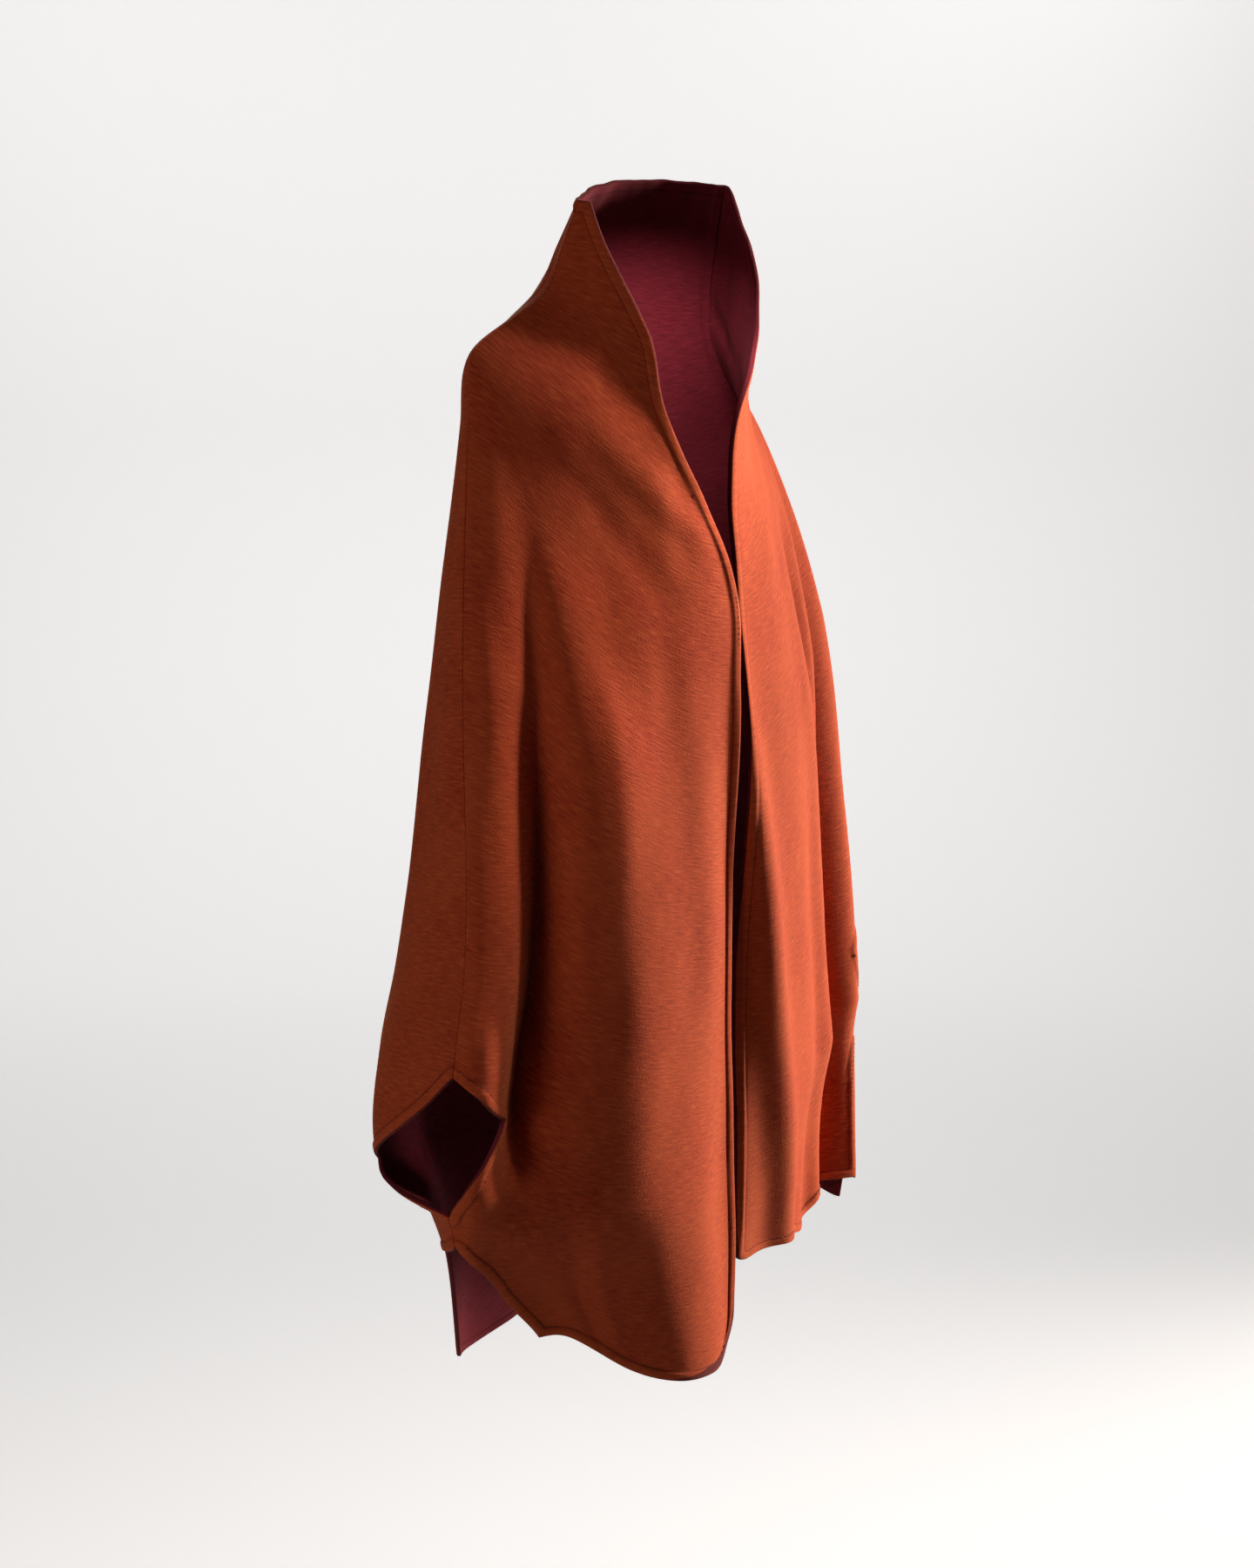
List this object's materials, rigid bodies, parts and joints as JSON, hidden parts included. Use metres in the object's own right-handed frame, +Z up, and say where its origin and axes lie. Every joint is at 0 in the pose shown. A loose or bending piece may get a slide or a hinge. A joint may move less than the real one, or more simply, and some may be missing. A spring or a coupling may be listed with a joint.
{
  "type": "cape",
  "caption": "Long reversible double-face wool cape, worn open, with a standing shawl collar, arm openings low in the side seams and a slit below each.",
  "frame": {"origin": "on the neck's axis at the height of the shoulder points, where the wearer's shoulders carry the cape", "axes": "+Z up, +X towards the wearer's left, the front faces -Y"},
  "size_m": [0.5992, 0.2701, 1.0986],
  "materials": {
    "back": "matte double-face wool, burnt orange outside and burgundy inside",
    "front_right": "matte double-face wool, burnt orange outside and burgundy inside",
    "front_left": "matte double-face wool, burnt orange outside and burgundy inside"
  },
  "bodies": {
    "root": {"back": "back", "front_right": "front_right", "front_left": "front_left"}
  },
  "joints": []
}
